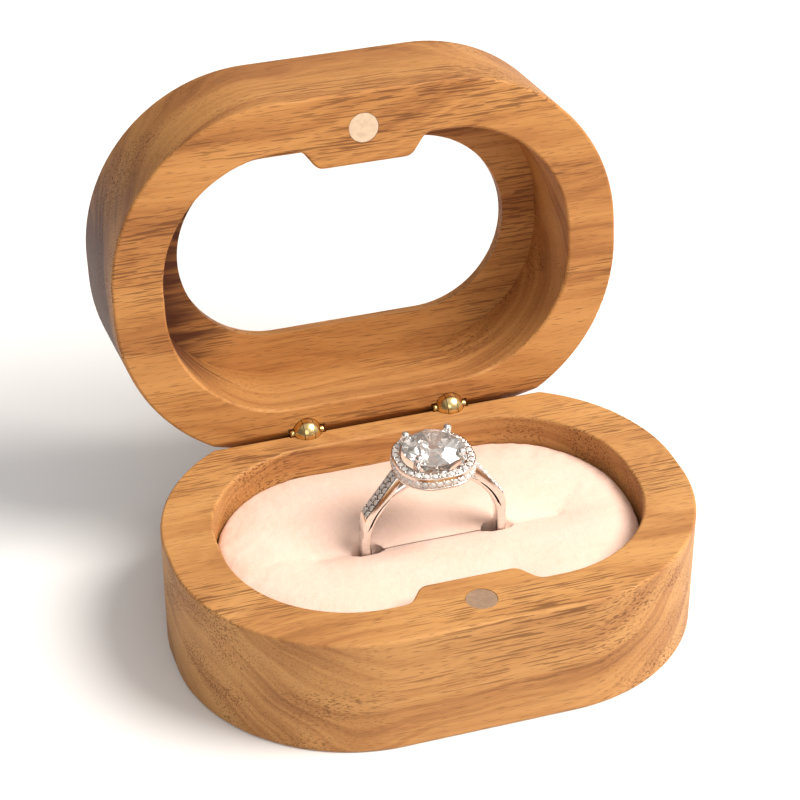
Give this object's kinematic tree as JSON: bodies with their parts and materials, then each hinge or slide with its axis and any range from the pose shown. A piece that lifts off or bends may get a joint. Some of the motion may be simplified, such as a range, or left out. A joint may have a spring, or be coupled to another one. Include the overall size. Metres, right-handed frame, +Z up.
{
  "type": "ring box",
  "caption": "Oval wooden ring box with a hinged windowed lid, magnetic closure and a velvet cushion holding a halo ring",
  "frame": {"origin": "centre of the underside of the base, on the surface that the box stands on", "axes": "+X to the right along the hinge line, +Y to the rear where the lid is hinged, +Z up"},
  "size_m": [0.07, 0.0702, 0.0638],
  "materials": {
    "acacia_wood": "oiled, fine grain along X",
    "velvet": "short ivory pile",
    "foam": "open-cell foam",
    "clear_acrylic": "clear, polished",
    "brass": "turned, polished",
    "nickel": "satin nickel plating",
    "white_gold": "mirror polish",
    "clear_stone": "faceted, polished"
  },
  "bodies": {
    "base": {"base_shell": "acacia_wood", "base_magnet": "nickel", "cushion_foam": "foam", "cushion_velvet": "velvet", "hinge_left_base_barrel": "brass", "hinge_right_base_barrel": "brass", "hinge_left_pin": "brass", "hinge_right_pin": "brass"},
    "lid": {"lid_frame": "acacia_wood", "window_pane": "clear_acrylic", "lid_magnet": "nickel", "hinge_left_lid_barrel": "brass", "hinge_right_lid_barrel": "brass"},
    "ring": {"ring_shank": "white_gold", "ring_halo": "white_gold", "ring_claws": "white_gold", "centre_stone": "clear_stone", "halo_top_stones": "clear_stone", "halo_side_stones": "clear_stone", "shoulder_stones_left": "clear_stone", "shoulder_stones_right": "clear_stone"}
  },
  "joints": [
    {"name": "lid_hinge", "type": "hinge", "parent": "base", "child": "lid", "pos_m": [0, 0.02205, 0.0171], "axis": [1, 0, 0], "range_deg": [0, 97.4]},
    {"name": "ring_lift", "type": "slide", "parent": "base", "child": "ring", "axis": [0, 0, 1], "range_m": [0, 0.0028]}
  ]
}
